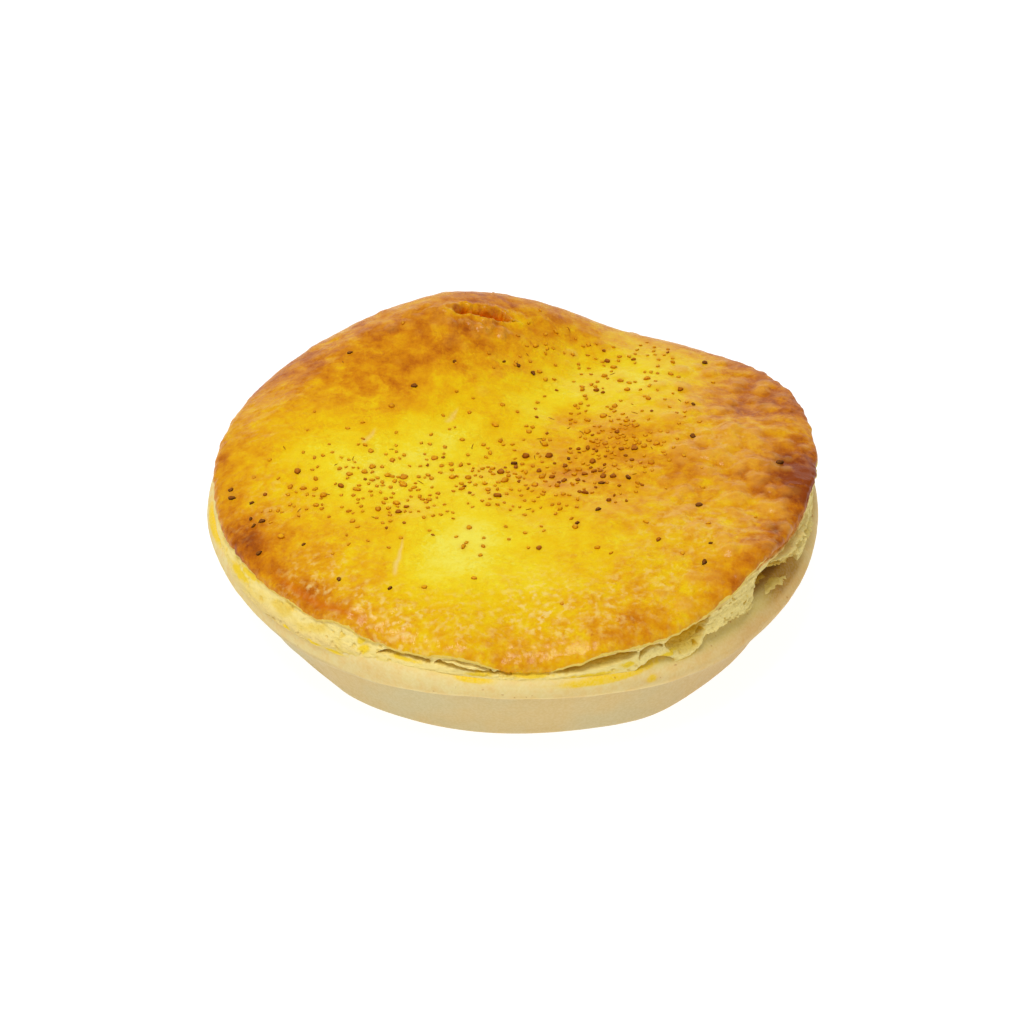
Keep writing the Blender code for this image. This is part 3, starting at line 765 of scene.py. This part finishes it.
def make_side():
    degrees = np.concatenate([np.arange(*stretch) for stretch in SIDE_COLUMNS]) % 360.0
    share, degrees = np.broadcast_arrays(np.linspace(0.0, 1.0, SIDE_ROWS)[:, None], degrees)
    angle = np.radians(degrees)
    flush = plateau(degrees, *FLUSH_SIDE[:2])
    outer = lid_outline(angle) - 0.12
    lip_face = LIP_RADIUS + waves(angle, LIP_WAVES) + 0.1
    foot = side_foot(angle) + (lip_face - side_foot(angle)) * flush
    top = brown_edge(angle) - 0.1
    low = CASE_TOP - COVER - rim_drop(angle, outer) - FLUSH_SIDE[2] * flush
    height = top + (low - top) * share
    above = height - LID_UNDERSIDE
    places = on_ring(angle, NOISE_RING, height)
    on_rim = on_ring(angle[0], NOISE_RING)
    teeth = rough(on_rim, 1.1, 24) + 0.8 * rough(on_rim, 0.45, 25)

    radius = outer + (foot - outer) * blend(0.0, 1.0, share * (1.0 + 0.35 * flush))
    radius = radius - UNDERCUT * (1.0 - flush) * 0.5 * bell((share - 0.3) / 0.25)
    deep = hollow_depth(degrees, above + 0.2 * rough(places, 1.6, 26), teeth)
    torn_back = np.maximum(tear_depth(degrees, above) * blend(1.0, 0.96, share), deep)
    flakes = rough(places * (0.35, 0.35, 1.6), 1.0, 21) + 0.5 * rough(places, 1.0, 22)
    crumb = rough(places, 0.55, 23)
    pores = blend(0.32, 0.6, rough(places * (1.0, 1.0, 1.5), 1.2, 27))
    folds = rough(places * (0.5, 0.5, 1.0), 1.9, 36)
    torn, = measures(degrees, TORN_SHARE, 360.0)
    rise = (0.20 * flakes + 0.07 * crumb - 0.35 * pores) * torn + 0.32 * folds * flush
    rise = rise * blend(0.0, 0.10, share) * blend(1.0, 0.94, share)
    radius = radius - torn_back + rise * blend(3.0, 0.5, deep)

    inner = outer[0] - INNER_STEP
    points = np.concatenate([
        on_ring(angle, radius, height).reshape(-1, 3),
        on_ring(angle[0], inner, CASE_TOP - COVER),
        on_ring(angle[0], inner, top[0] - 0.2),
    ])
    rows = numbered(SIDE_ROWS + 2, len(inner))
    faces = ring_quads(closed(rows, 0))
    glazed = glaze_share(degrees, top - height + 0.5 * flakes)
    values = {
        # painted shade: darker deep in the tears, in the pores and in the troughs of the folds
        "hollow_shade": (np.clip(torn_back / HOLLOW_SHADE_DEPTH, 0.0, 1.0) + 0.25 * pores * torn
                   + 0.3 * flush * blend(0.0, -0.6, folds)),
        "yolk": np.maximum(dabs(degrees, above, SIDE_DABS), 0.3 * flush * blend(1.0, 0.5, share)),
        "toast": np.maximum(0.45 * blend(0.14, 0.0, share) * (1.0 - 0.6 * flush), glazed),
        "plain": flush * blend(0.35, 0.75, share + 0.12 * flakes) * blend(-0.7, 0.0, folds),
    }
    side = new_piece("torn_side", points, [faces], DOUGH, values, rest=1.0)
    side.data.set_sharp_from_angle(angle=math.radians(50.0))
    return side


# Torn leaves: keys of (angle, height above the shelf, reach), then thickness, raggedness and painted
# shade.
# None rises above the browned edge less LEAF_CLEARANCE.
LEAVES = (
    # teeth along the fringe and the curtain
    (((257, 2, 58), (260, 2.1, 58.2), (263, 1.7, 58.4), (266, 1.3, 58.5)), 0.35, 0.35, 0),
    (((308, 0.5, 58), (311, 0.5, 58.4), (314, 1, 58.4), (318, 0.2, 58.3), (322, -0.5, 58)), 0.5, 0.6, 0),
    # the torn flakes inside the deep hollow
    (((326.5, -1.2, 55.8), (329, -0.8, 56.8), (332, -1.2, 57), (335, -1.8, 56.2)), 0.4, 0.8, 0.1),
    (((330, 2.2, 55.4), (333, 1.4, 56.4), (336, 0.4, 57), (339, -0.6, 57)), 0.5, 0.6, 0.2),
    (((323.5, -1.4, 56.2), (327, -0.7, 57.7), (330, -0.6, 58.3), (333, -1, 58.2),
      (337, -1.8, 57)), 0.35, 0.8, 0.1),
    # the fibrous patch and the low ledge at the far right
    (((329, 4.8, 57.8), (335, 4.2, 58.6), (340, 4, 58.9), (347, 4.4, 59)), 0.9, 0.8, 0),
    (((334, 1.6, 57.4), (340, 1.4, 58.7), (347, 1.6, 59.1), (354, 1.6, 58.8)), 0.8, 0.6, 0),
    # the sides and back, which the photo doesn't show
    (((6, 2.6, 57.6), (18, 2.9, 58.8), (30, 2.7, 59), (44, 2.4, 58.4)), 0.7, 0.6, 0),
    (((2, 5.4, 58.6), (14, 5.6, 59.6), (24, 5.4, 59.8), (34, 5.2, 59.2)), 0.6, 0.5, 0),
    (((40, 1.2, 57.4), (52, 1, 58.2), (64, 0.6, 58)), 0.6, 0.5, 0),
    (((60, 0.4, 57.4), (74, 0.5, 58.3), (86, 0.9, 58.4), (96, 0.6, 57.8)), 0.7, 0.6, 0),
    (((76, 1.4, 57), (84, 2, 57.9), (92, 2.4, 57.6)), 0.5, 0.5, 0),
    (((98, 1.9, 57.4), (110, 2, 58.2), (120, 1.8, 58.3), (130, 1.6, 57.8)), 0.7, 0.7, 0),
    (((108, 3.8, 57.4), (118, 3.8, 58.2), (130, 3.4, 57.8)), 0.6, 0.5, 0),
    (((132, 1.2, 57.4), (142, 1.6, 58.2), (150, 1.2, 57.8)), 0.6, 0.5, 0),
    (((146, 1, 57.4), (158, 1.2, 58.4), (166, 1, 58.4), (176, 0.8, 57.8)), 0.7, 0.6, 0),
    (((160, 3, 57), (170, 3.2, 57.9), (182, 2.6, 57.4)), 0.5, 0.4, 0),
)
LEAF_CLEARANCE = 0.35
LEAF_ROOT = 52.5
LEAF_STEP = 0.28  # degrees
LEAF_ROWS = 9


def leaf_sheet(leaf, number):
    """A closed thin sheet from its root in the lid to its torn tips: rows of points, and painted shade.
    """
    keys, thickness, ragged, hollow_shade = leaf
    start, end = keys[0][0], keys[-1][0]
    degrees = np.arange(start, end, LEAF_STEP)
    angle = np.radians(degrees)
    ring = on_ring(angle, NOISE_RING, 10.0 * number)
    swell = np.sin(np.pi * (degrees - start) / (end - start)) ** 0.4
    coarse = rough(ring, 1.6, 31)
    teeth = rough(ring, 0.55, 32)
    height, reach = measures(degrees, keys)
    height = LID_UNDERSIDE + height + 0.25 * ragged * rough(ring, 3.0, 33)
    reach = reach - 1.2 * (1.0 - swell) + ragged * (0.8 * coarse + 0.9 * teeth) * swell
    roots = on_ring(angle, LEAF_ROOT, height + 0.4)
    tips = on_ring(angle, reach, height + 0.45 * ragged * coarse)

    out = np.linspace(0.0, 1.0, LEAF_ROWS)[:, None]
    middle = roots + (tips - roots) * out[..., None]
    middle[..., 2] -= 0.5 * ragged * (1.0 + 0.8 * teeth) * out ** 3
    thick = (1.0 - 0.75 * out ** 2) * thickness * (0.55 + 0.45 * swell)
    half = np.array([0.0, 0.0, 0.5]) * thick[..., None]
    points = np.concatenate([middle + half, (middle - half)[::-1]])
    points[..., 2] += rough(points, 1.3, 34) * 0.16
    highest = brown_edge(angle) - LEAF_CLEARANCE
    points[..., 2] -= np.maximum((points[..., 2] - highest).max(axis=0), 0.0)
    # painted shade: darker towards the root under the lid, and darker on the underside
    root_shade = np.linspace(0.5, 0.0, LEAF_ROWS)
    tone = hollow_shade + np.concatenate([root_shade, root_shade[::-1] + 0.2])
    return points, np.repeat(tone, len(degrees))


def end_cap(column):
    """Faces between the upper and the lower side of a sheet, down one of its ends."""
    upper, lower = column[:LEAF_ROWS], column[::-1][:LEAF_ROWS]
    return np.stack([upper[:-1], lower[:-1], lower[1:], upper[1:]], -1)


def make_leaves():
    """All torn leaves as one piece."""
    points, faces, leaf_shades = [], [], []
    for number, leaf in enumerate(LEAVES):
        sheet, tone = leaf_sheet(leaf, number)
        numbers = numbered(*sheet.shape[:2], sum(len(part) for part in points))
        faces += [quads(closed(numbers, 0)), end_cap(numbers[:, 0])[:, ::-1], end_cap(numbers[:, -1])]
        points.append(sheet.reshape(-1, 3))
        leaf_shades.append(tone)
    points = np.concatenate(points)
    angle = np.arctan2(points[:, 1], points[:, 0])
    degrees = np.degrees(angle)
    depth = brown_edge(angle) - points[:, 2] + 0.5 * rough(points, 1.0, 35)
    values = {
        # painted shade of the leaves
        "hollow_shade": np.concatenate(leaf_shades),
        "yolk": 0.8 * dabs(degrees, points[:, 2] - LID_UNDERSIDE, SIDE_DABS),
        "toast": glaze_share(degrees, depth),
        "plain": np.zeros(len(points)),
    }
    return new_piece("torn_leaves", points, faces, DOUGH, values)


# The case

# Egg wash on the lip: (angle, half angle, height, half height).
LIP_DABS = (
    (233.5, 4, 17.8, 0.4), (207, 4, 19.6, 0.7), (263, 3, 19.9, 0.5), (288, 9, 19, 0.7),
    (295, 1.3, 17, 0.9), (303, 3, 18.4, 0.7), (190, 6, 19.6, 0.8),
)
# Painted shade on the shelf within the deep hollow: middle angle and half angle.
TEAR_FLOOR_SHADE = (334.0, 8.0)


def case_rows():
    """The case's profile, closely spaced and with its corners rounded."""
    corners = np.array([
        (0, CASE_TOP), (44, CASE_TOP), (SHELF_RADIUS, CASE_TOP), (LIP_RADIUS - 0.5, CASE_TOP - 0.6),
        (LIP_RADIUS - 0.1, CASE_TOP - 1.7), (LIP_RADIUS, CASE_TOP - 3.3),
        (LIP_RADIUS - 0.2, LIP_UNDERSIDE + 0.7), (LIP_RADIUS - 0.8, LIP_UNDERSIDE),
        (WALL_TOP_RADIUS + 1, LIP_UNDERSIDE - 0.4), (WALL_TOP_RADIUS, WALL_TOP),
        ((WALL_TOP_RADIUS + WALL_FOOT_RADIUS) / 2, (WALL_TOP + FOOT_ROUND) / 2),
        (WALL_FOOT_RADIUS, FOOT_ROUND), (FOOT_RADIUS + 1, FOOT_ROUND / 3), (FOOT_RADIUS, 0), (44, 0),
        (0, 0),
    ])
    run = np.append(0.0, np.cumsum(np.hypot(*np.diff(corners, axis=0).T)))
    fine = np.arange(44.0, run[-1] - 44.0, 0.42)
    rows = np.stack([np.interp(fine, run, side) for side in corners.T], -1)
    for _ in range(2):
        rows[1:-1] = 0.25 * rows[:-2] + 0.5 * rows[1:-1] + 0.25 * rows[2:]
    return rows


def make_case():
    rows = case_rows()
    angle = np.linspace(0.0, math.tau, CASE_STEPS, endpoint=False)
    angle, radius, height = np.broadcast_arrays(angle, rows[:, :1], rows[:, 1:])
    places = on_ring(angle, radius, height)
    lip_share = blend(0.0, LIP_UNDERSIDE, height)
    outer = blend(FOOT_RADIUS - 1.0, WALL_FOOT_RADIUS, radius)
    dents = WALL_DENTS * rough(places, WALL_DENT_SPACING)
    fine = 0.06 * rough(places, 3.5, 41) + 0.03 * rough(places, 1.1, 42)
    bulges = (1.0 - lip_share) * humps(angle, FOOT_BULGES)
    reach = radius + waves(angle, LIP_WAVES) * lip_share * radius / LIP_RADIUS
    reach = reach + (dents + fine + bulges) * outer
    drop = waves(angle, LIP_SAGS) + 0.18 * rough(on_ring(angle, 59.0), 5.0, 43)
    near_lip = bell((height - LIP_UNDERSIDE) / LIP_SAG_REACH) * outer
    sunk = rim_drop(angle, radius) * blend(LIP_UNDERSIDE, CASE_TOP, height)
    height = height + drop * near_lip - sunk
    points = on_ring(angle, reach, height)
    points[..., 0] += FOOT_SHIFT * (1.0 - lip_share)
    middles = [[0.0, 0.0, CASE_TOP], [FOOT_SHIFT, 0.0, 0.0]]
    points = np.concatenate([points.reshape(-1, 3), middles])
    numbers = numbered(len(rows), CASE_STEPS)
    faces = [ring_quads(numbers), fan(numbers[0], numbers.size, upward=True),
             fan(numbers[-1], numbers.size + 1, upward=False)]

    degrees = np.degrees(angle)
    on_lip = blend(LIP_UNDERSIDE - 0.3, LIP_UNDERSIDE + 0.3, height)
    toast = 0.22 * bell((height - 16.5) / 2.2) * (0.3 + rough(places, 8.0, 44))
    behind = bell_round(degrees, 30.0, 85.0) * on_lip
    warm = bell_round(degrees, 322.0, 24.0) * blend(18.6, 16.5, height)
    # painted shade on the shelf within the deep hollow
    cave_shade = 0.9 * plateau(degrees, *TEAR_FLOOR_SHADE) * blend(59.0, 58.2, radius)
    values = {
        "lip": on_lip,
        "yolk": 0.30 * blend(CASE_TOP - 2.6, CASE_TOP - 0.4, height) + dabs(degrees, height, LIP_DABS),
        "toast": np.clip(toast + 0.25 * behind + 0.3 * warm, 0.0, 1.0),
        "shelf": blend(58.9, 57.6, radius) * (height > LIP_UNDERSIDE),
        # painted shade on the shelf under the lid and within the deep hollow
        "deep": np.maximum(blend(57.0, 54.0, radius), cave_shade) * (height > LIP_UNDERSIDE),
    }
    return new_piece("crust_case", points, faces, shortcrust_finish(), values)


# The seasoning

def pick_place(draw, patches):
    """A random place on the lid, close to the middle of one of the patches."""
    shares = [patch[-1] for patch in patches]
    x, y, half_length, half_width, turn, _ = draw.choices(patches, shares)[0]
    spread = Vector((draw.gauss(0.0, 0.75) * half_length, draw.gauss(0.0, 0.75) * half_width))
    spread.rotate(Matrix.Rotation(math.radians(turn), 2))
    return Vector((x, y)) + spread


def scatter_grains(draw, grains, patches, count, sizes, spacing):
    """Add places and sizes of grains, largest first, none on another or over the edge."""
    largest, smallest = sizes
    done = 0
    while done < count:
        place = pick_place(draw, patches)
        size = largest + (smallest - largest) * (done / count) ** 0.5
        crowded = any((place - other).length < spacing for other, _ in grains)
        in_vent = (place - Vector(VENT_PLACE)).length < VENT_SIZE[0] + size
        if place.length < GRAIN_LIMIT_RADIUS and not crowded and not in_vent:
            grains.append((place, size))
            done += 1


# Dark specks that lie apart from the rest: (x, y, size).
SPECKS = (
    (-47.5, -18.4, 1.3), (-49, -19.2, 1), (-49.7, -17, 0.9), (-49.8, -12.8, 1), (-53.8, -10, 1.5),
    (-54.2, -7.8, 1.1), (-47.6, -26.4, 1.2), (-32, -36.9, 1), (-22.4, -40.9, 1.1), (-39.1, -26.5, 0.8),
    (-32.4, 26, 1.1), (-19.4, 17.6, 1.3), (-11.5, 24.5, 0.9), (1.2, 27.3, 1.1), (-1.6, 27.4, 0.8),
    (4.2, 26, 1.2), (35.3, 4.3, 1.4), (35.4, -17.4, 1.4), (35.6, -34.9, 1.5), (37, -29.6, 0.8),
    (51.6, -4.6, 1.7), (36, 15.6, 1), (39.2, 33.4, 1.2), (22.3, -8.3, 1.3),
)
# Stray golden grains at the front.
STRAYS = ((18.4, -32.0, 1.0), (15.9, -30.3, 1.1), (-7.0, -38.5, 1.0))
THREADS = 36
THREAD_STEPS = 9
THREAD_SIDES = 6


def land(tree, x, y):
    """Where a thing dropped at a place meets the skin, and the slope's normal there."""
    start = Vector((x + CENTRING[0], y + CENTRING[1], 100.0)) * MM
    spot, up, _, _ = tree.ray_cast(start, Vector((0.0, 0.0, -1.0)))
    return spot / MM - Vector((*CENTRING, 0.0)), up


def bead():
    """A unit ball, as points and faces."""
    maker = bmesh.new()
    bmesh.ops.create_icosphere(maker, subdivisions=3, radius=1.0)
    points = np.array([vertex.co[:] for vertex in maker.verts])
    faces = np.array([[vertex.index for vertex in face.verts] for face in maker.faces])
    maker.free()
    return points, faces


def make_grains(name, grains, tree, draw, finish, sunk, longer=1.0):
    """One piece of many glazed grains, each uneven, leaning with the slope and half sunk."""
    ball, ball_faces = bead()
    points, faces, underside_shades, tints = [], [], [], []
    for number, (place, size) in enumerate(grains):
        width = draw.uniform(0.55, 1.0)
        flatness = draw.uniform(0.5, 0.75)
        uneven = 1.0 + 0.42 * rough(ball + 9.1 * number, 0.9, 51)[:, None]
        shape = ball * uneven * np.array([longer, width, flatness]) * size / 2.0
        spot, up = land(tree, *place)
        turn = Matrix.Rotation(draw.uniform(0.0, math.tau), 3, "Z")
        lean = Vector((0.0, 0.0, 1.0)).rotation_difference(up).to_matrix()
        points.append(shape @ np.array(lean @ turn).T + np.array(spot + up * size * sunk))
        faces.append(ball_faces + number * len(ball))
        # painted shade: darker towards each grain's lower side
        underside_shades.append(blend(0.85, 0.15, ball[:, 2] + 0.25 * rough(ball + 3.3 * number, 0.8, 52)))
        tints.append(np.full(len(ball), draw.uniform(0.0, 0.6) ** 1.5))
    values = {"rim": np.concatenate(underside_shades), "tint": np.concatenate(tints)}
    return new_piece(name, np.concatenate(points), faces, finish, values)


def make_threads(tree, draw, finish):
    """Thin curved threads of herb, lying on the glaze."""
    points, faces = [], []
    for _ in range(THREADS):
        place = pick_place(draw, SMALL_PATCHES)
        if place.length > GRAIN_LIMIT_RADIUS - 5.0:
            continue
        length = draw.uniform(0.7, 1.8) / THREAD_STEPS
        heading = draw.uniform(0.0, math.tau)
        bend = draw.uniform(-0.8, 0.8)
        faces.append(ring_quads(numbered(THREAD_STEPS, THREAD_SIDES, len(points))))
        x, y = place
        for step in range(THREAD_STEPS):
            spot, up = land(tree, x, y)
            way = heading + bend * (step / THREAD_STEPS - 0.5)
            thick = 0.08 * math.sin(math.pi * (step + 0.6) / (THREAD_STEPS + 0.2)) ** 0.5
            side = Vector((-math.sin(way), math.cos(way), 0.0))
            for corner in range(THREAD_SIDES):
                turn = math.tau * corner / THREAD_SIDES
                points.append(spot + side * math.cos(turn) * thick + up * (math.sin(turn) * thick + 0.04))
            x += math.cos(way) * length
            y += math.sin(way) * length
    values = {"rim": np.full(len(points), 0.6), "tint": np.zeros(len(points))}
    return new_piece("herb_threads", np.array(points), faces, finish, values)


def make_seasoning(skin, grains):
    places = [vertex.co[:] for vertex in skin.data.vertices]
    tree = BVHTree.FromPolygons(places, [tuple(face.vertices) for face in skin.data.polygons])
    draw = random.Random(GRAIN_SEED + 1)
    golden, brown, dark = [], [], []
    for grain in grains:
        crowd = bell(math.hypot(grain[0][0] - 14.0, grain[0][1] + 4.0) / 14.0)
        pick = draw.random()
        kind = dark if pick < 0.05 * crowd else brown if pick < 0.10 + 0.36 * crowd else golden
        kind.append(grain)
    dark += [((x, y), 0.88 * size) for x, y, size in SPECKS]
    golden += [((x, y), size) for x, y, size in STRAYS]
    # each finish: the colour of its painted shade on the lower side, then of its top
    gold = grain_finish("golden_grain", (186, 102, 0), (226, 162, 4))
    umber = grain_finish("brown_grain", (132, 66, 0), (184, 108, 4))
    soot = grain_finish("dark_grain", (74, 38, 2), (140, 80, 10))
    return [
        make_grains("golden_grains", golden, tree, draw, gold, 0.03),
        make_grains("brown_grains", brown, tree, draw, umber, 0.08),
        make_grains("dark_specks", dark, tree, draw, soot, 0.10, longer=1.15),
        make_threads(tree, draw, umber),
    ]


# The studio, in metres

FLOOR_HALF = 4.0
FLOOR_HEIGHT = -0.0002
# Area lights, aimed at the pie: name, place, size and power.
LIGHTS = (
    ("softbox", (-0.15, -0.16, 0.80), (0.42, 0.34), 4.25),
    ("fill", (-0.50, -0.50, 0.42), (0.5, 0.5), 0.72),
    ("side_fill", (0.55, -0.35, 0.30), (0.5, 0.5), 0.45),
    ("back_panel", (0.05, 0.85, 0.30), (1.2, 0.5), 2.1),
)
LIGHT_AIM = (0.0, 0.0, 0.02)
LENS = 107.6  # on a sensor 36 mm wide
CAMERA_DISTANCE = 0.600
CAMERA_LIFT = math.radians(35.0)
CAMERA_AIM_HEIGHT = 0.01545


def make_floor():
    mesh = bpy.data.meshes.new("floor")
    ends = ((-1, -1), (1, -1), (1, 1), (-1, 1))
    corners = [(FLOOR_HALF * x, FLOOR_HALF * y, FLOOR_HEIGHT) for x, y in ends]
    mesh.from_pydata(corners, [], [(0, 1, 2, 3)])
    material = bpy.data.materials.new("floor_white")
    material.use_nodes = True
    fill(material.node_tree.nodes["Principled BSDF"], {
        "Base Color": (0.30, 0.30, 0.30, 1.0), "Roughness": 0.9, "Specular IOR Level": 0.0,
        "Emission Color": (1.0, 1.0, 1.0, 1.0), "Emission Strength": 0.88})
    mesh.materials.append(material)
    add_object("floor", mesh)


def put_and_aim(thing, place, target):
    thing.location = place
    direction = Vector(target) - thing.location
    thing.rotation_euler = direction.to_track_quat("-Z", "Y").to_euler()


def make_studio():
    scene = bpy.context.scene
    scene.world = bpy.data.worlds.new("studio")
    scene.world.use_nodes = True
    background = scene.world.node_tree.nodes["Background"]
    fill(background, {"Color": (1.0, 1.0, 1.0, 1.0), "Strength": 0.32})
    scene.view_settings.view_transform = "Standard"
    scene.view_settings.look = "None"
    make_floor()
    for name, place, size, power in LIGHTS:
        lamp = add_object(name, bpy.data.lights.new(name, "AREA"))
        lamp.data.shape = "RECTANGLE"
        lamp.data.size, lamp.data.size_y = size
        lamp.data.energy = power
        put_and_aim(lamp, place, LIGHT_AIM)


def make_camera():
    camera = add_object("camera", bpy.data.cameras.new("camera"))
    camera.data.sensor_width = 36.0
    camera.data.lens = LENS
    x, y = CENTRING[0] * MM, CENTRING[1] * MM
    place = (x, y - CAMERA_DISTANCE * math.cos(CAMERA_LIFT),
             CASE_TOP * MM + CAMERA_DISTANCE * math.sin(CAMERA_LIFT))
    put_and_aim(camera, place, (x, y, CAMERA_AIM_HEIGHT))
    bpy.context.scene.camera = camera


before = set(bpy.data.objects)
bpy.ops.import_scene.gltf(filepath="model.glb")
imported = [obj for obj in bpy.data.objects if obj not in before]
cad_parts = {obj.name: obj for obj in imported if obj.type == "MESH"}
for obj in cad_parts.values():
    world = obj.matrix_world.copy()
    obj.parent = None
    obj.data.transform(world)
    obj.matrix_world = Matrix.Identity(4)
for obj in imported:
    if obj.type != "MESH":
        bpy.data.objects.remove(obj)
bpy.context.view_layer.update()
make_camera()
make_studio()
DOUGH = dough_finish()

grains = []
draw = random.Random(GRAIN_SEED)
scatter_grains(draw, grains, GRAIN_PATCHES, LARGE_GRAINS, LARGE_SIZES, LARGE_SPACING)
scatter_grains(draw, grains, SMALL_PATCHES, SMALL_GRAINS, SMALL_SIZES, SMALL_SPACING)

skin = make_skin(grains)
side = make_side()
leaves = make_leaves()
case = make_case()
seasoning = make_seasoning(skin, grains)

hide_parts("lid")
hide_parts("case")
for piece in (skin, side, leaves, case, *seasoning):
    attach(piece, "root")
